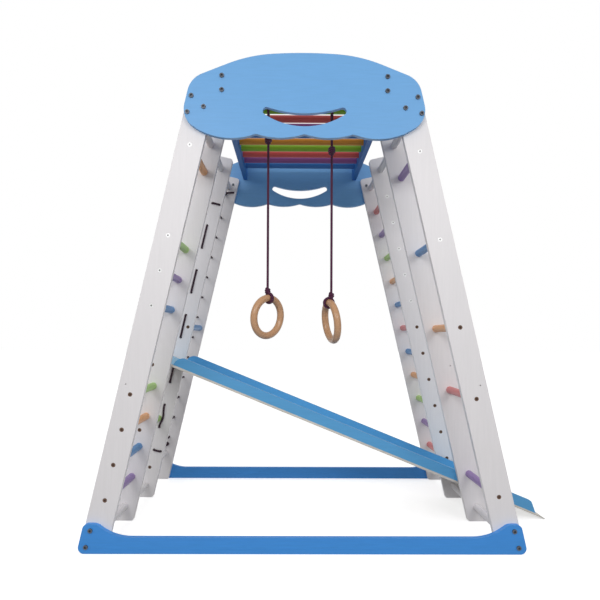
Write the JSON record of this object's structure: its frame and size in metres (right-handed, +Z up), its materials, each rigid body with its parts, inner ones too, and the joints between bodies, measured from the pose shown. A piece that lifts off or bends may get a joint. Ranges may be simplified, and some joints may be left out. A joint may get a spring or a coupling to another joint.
{
  "type": "toddler slide",
  "caption": "Indoor climbing frame for toddlers: leaning ladder sides, overhead ladder, rope net, hanging rings and a slide that hooks on a rung.",
  "frame": {"origin": "on the floor under the middle of the bounding box, slide included", "axes": "+Z up, +X towards the foot of the slide, +Y to the back"},
  "size_m": [1.5398, 0.8918, 1.4999],
  "materials": {
    "white_board": "satin white paint",
    "panel_blue": "satin blue paint",
    "beam_blue": "satin blue paint",
    "rail_blue": "satin blue paint",
    "ladder_orange": "satin orange paint",
    "ladder_green": "satin green paint",
    "ladder_red": "satin red paint",
    "ladder_purple": "satin purple paint",
    "ladder_blue": "satin blue paint",
    "rung_orange": "satin peach paint",
    "rung_green": "satin pale green paint",
    "rung_red": "satin pink paint",
    "rung_purple": "satin pale purple paint",
    "rung_blue": "satin pale blue paint",
    "white_rod": "satin white paint",
    "slide_bed": "satin blue paint, bare edges",
    "slide_side": "satin blue paint",
    "hook_wood": "bare wood",
    "ring_wood": "clear lacquer",
    "net_rope": "braided cord",
    "ring_rope": "braided cord",
    "dark_bolt": "dark plated steel",
    "steel_screw": "zinc plating"
  },
  "bodies": {
    "frame": {"base_rail_bolts": "dark_bolt", "front_base_rail": "rail_blue", "front_panel": "panel_blue", "ladder_rungs_blue": "ladder_blue", "ladder_rungs_green": "ladder_green", "ladder_rungs_orange": "ladder_orange", "ladder_rungs_purple": "ladder_purple", "ladder_rungs_red": "ladder_red", "ladder_screws": "steel_screw", "left_board_1": "white_board", "left_board_2": "white_board", "left_board_3": "white_board", "left_board_4": "white_board", "left_front_rungs_blue": "rung_blue", "left_front_rungs_green": "rung_green", "left_front_rungs_orange": "rung_orange", "left_front_rungs_purple": "rung_purple", "left_ladder_beam": "beam_blue", "left_middle_rungs_green": "rung_green", "left_middle_rungs_slide": "white_rod", "left_rear_rungs_blue": "rung_blue", "left_rear_rungs_white": "white_rod", "left_rung_screws": "steel_screw", "left_tie_rods": "white_rod", "net_cord": "net_rope", "panel_beam_bolts": "dark_bolt", "panel_board_bolts": "dark_bolt", "rear_base_rail": "rail_blue", "rear_panel": "panel_blue", "right_board_1": "white_board", "right_board_2": "white_board", "right_board_3": "white_board", "right_board_4": "white_board", "right_front_rungs_blue": "rung_blue", "right_front_rungs_orange": "rung_orange", "right_front_rungs_purple": "rung_purple", "right_front_rungs_red": "rung_red", "right_ladder_beam": "beam_blue", "right_rear_rungs_blue": "rung_blue", "right_rear_rungs_green": "rung_green", "right_rear_rungs_orange": "rung_orange", "right_rear_rungs_purple": "rung_purple", "right_rear_rungs_red": "rung_red", "right_rung_screws": "steel_screw", "right_tie_rods": "white_rod"},
    "left_loop": {"left_rope_loop": "ring_rope"},
    "left_line": {"left_rope": "ring_rope"},
    "left_ring_set": {"left_ring": "ring_wood", "left_ring_knot": "ring_rope"},
    "right_loop": {"right_rope_loop": "ring_rope"},
    "right_line": {"right_rope": "ring_rope"},
    "right_ring_set": {"right_ring": "ring_wood", "right_ring_knot": "ring_rope"},
    "slide": {"slide_bed": "slide_bed", "slide_near_side": "slide_side", "slide_far_side": "slide_side", "slide_hooks": "hook_wood", "slide_screws": "steel_screw"}
  },
  "joints": [
    {"name": "left_swing", "type": "hinge", "parent": "frame", "child": "left_loop", "pos_m": [-0.2172, -0.259, 1.402], "axis": [1, 0, 0], "range_deg": [-35, 40]},
    {"name": "left_sway", "type": "hinge", "parent": "left_loop", "child": "left_line", "pos_m": [-0.2172, -0.259, 1.2838], "axis": [0, 1, 0], "range_deg": [-8, 8]},
    {"name": "left_turn", "type": "hinge", "parent": "left_line", "child": "left_ring_set", "pos_m": [-0.2172, -0.259, 0.8], "axis": [0, 0, 1], "range_deg": [-90, 90]},
    {"name": "right_swing", "type": "hinge", "parent": "frame", "child": "right_loop", "pos_m": [-0.0057, -0.259, 1.402], "axis": [1, 0, 0], "range_deg": [-35, 40]},
    {"name": "right_sway", "type": "hinge", "parent": "right_loop", "child": "right_line", "pos_m": [-0.0057, -0.259, 1.2478], "axis": [0, 1, 0], "range_deg": [-8, 8]},
    {"name": "right_turn", "type": "hinge", "parent": "right_line", "child": "right_ring_set", "pos_m": [-0.0057, -0.259, 0.8], "axis": [0, 0, 1], "range_deg": [-90, 90]},
    {"name": "slide_lift", "type": "hinge", "parent": "frame", "child": "slide", "pos_m": [-0.6262, 0, 0.547], "axis": [0, -1, 0], "range_deg": [0, 24]}
  ]
}
